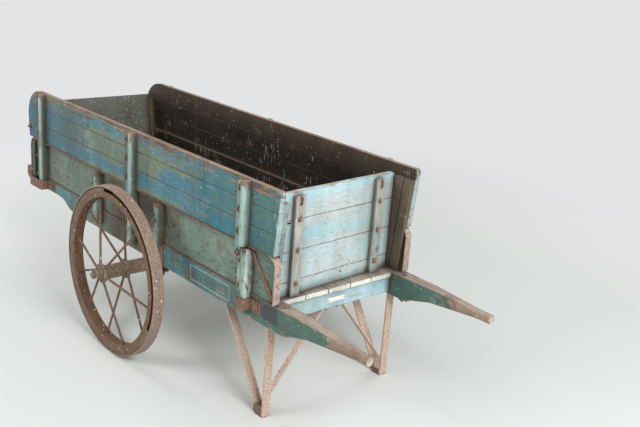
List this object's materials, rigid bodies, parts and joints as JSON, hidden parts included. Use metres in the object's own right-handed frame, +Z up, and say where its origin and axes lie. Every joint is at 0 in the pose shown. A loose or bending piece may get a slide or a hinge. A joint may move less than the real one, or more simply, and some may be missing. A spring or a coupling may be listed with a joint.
{
  "type": "hand truck",
  "caption": "Old wooden hand cart with blue painted board sides, lift-out end boards, rusty iron spoked wheels and iron legs by its handles.",
  "frame": {"origin": "on the floor, below the middle of the overall box", "axes": "+X to the handles, +Y to the right wheel, +Z up; the left wheel is on the -Y side"},
  "size_m": [2.808, 1.3666, 1.011],
  "materials": {
    "wood_upper": "old blue milk paint over weathered softwood boards",
    "wood_lower": "old grey-green paint over weathered boards",
    "wood_beam": "old blue-green paint over a hardwood beam",
    "wood_stake": "light teal paint with green worn edges",
    "wood_board": "light blue chalky paint on boards",
    "wood_tailboard": "grey-green paint on boards",
    "wood_inside": "unpainted, darkened wood",
    "wood_deck": "bare grey floor planks",
    "wood_bare": "bare dry wood between rim and tyre",
    "iron": "rusted wrought iron",
    "wheel_iron": "rusted iron of the wheels",
    "fastener": "rusted nuts and staples with paint left on"
  },
  "bodies": {
    "cart": {"left_upper_boards": "wood_upper", "right_upper_boards": "wood_upper", "left_lower_board": "wood_lower", "right_lower_board": "wood_lower", "left_beam": "wood_beam", "right_beam": "wood_beam", "left_upper_stakes": "wood_stake", "right_upper_stakes": "wood_stake", "left_lower_stakes": "wood_stake", "right_lower_stakes": "wood_stake", "left_cleats": "wood_inside", "right_cleats": "wood_inside", "left_edge_strips": "iron", "right_edge_strips": "iron", "left_shoes": "iron", "right_shoes": "iron", "left_end_cap": "iron", "right_end_cap": "iron", "left_end_bands": "iron", "right_end_bands": "iron", "left_leg_front_bar": "iron", "right_leg_front_bar": "iron", "left_leg_rear_bar": "iron", "right_leg_rear_bar": "iron", "left_foot": "iron", "right_foot": "iron", "left_leg_brace": "iron", "right_leg_brace": "iron", "stake_nuts": "iron", "beam_straps": "iron", "front_stays": "iron", "axle": "iron", "axle_nuts": "iron", "split_pins": "iron", "axle_clip_plates": "iron", "axle_clip_bolts": "iron", "leg_bolts": "iron", "axle_cheeks": "wood_beam", "deck_planks": "wood_deck", "front_rail": "wood_board", "mid_rails": "wood_inside", "tail_rail": "wood_inside"},
    "left_wheel": {"left_tyre": "wheel_iron", "left_rim": "wheel_iron", "left_packing": "wood_bare", "left_hub": "wheel_iron", "left_spokes": "wheel_iron"},
    "right_wheel": {"right_tyre": "wheel_iron", "right_rim": "wheel_iron", "right_packing": "wood_bare", "right_hub": "wheel_iron", "right_spokes": "wheel_iron"},
    "front_board": {"front_board_planks": "wood_board", "front_board_battens": "wood_board", "front_board_nuts": "fastener", "front_board_hooks": "fastener"},
    "tail_board": {"tail_board_planks": "wood_tailboard", "tail_board_battens": "wood_tailboard", "tail_board_nuts": "fastener"}
  },
  "joints": [
    {"name": "left_wheel_turn", "type": "hinge", "parent": "cart", "child": "left_wheel", "pos_m": [-0.064, -0.572, 0.4], "axis": [0, 1, 0], "continuous": true},
    {"name": "right_wheel_turn", "type": "hinge", "parent": "cart", "child": "right_wheel", "pos_m": [-0.064, 0.572, 0.4], "axis": [0, 1, 0], "continuous": true},
    {"name": "front_board_lift", "type": "slide", "parent": "cart", "child": "front_board", "axis": [0, 0, 1], "range_m": [0, 0.46]},
    {"name": "tail_board_lift", "type": "slide", "parent": "cart", "child": "tail_board", "axis": [-0.1736, 0, 0.9848], "range_m": [0, 0.42]}
  ]
}
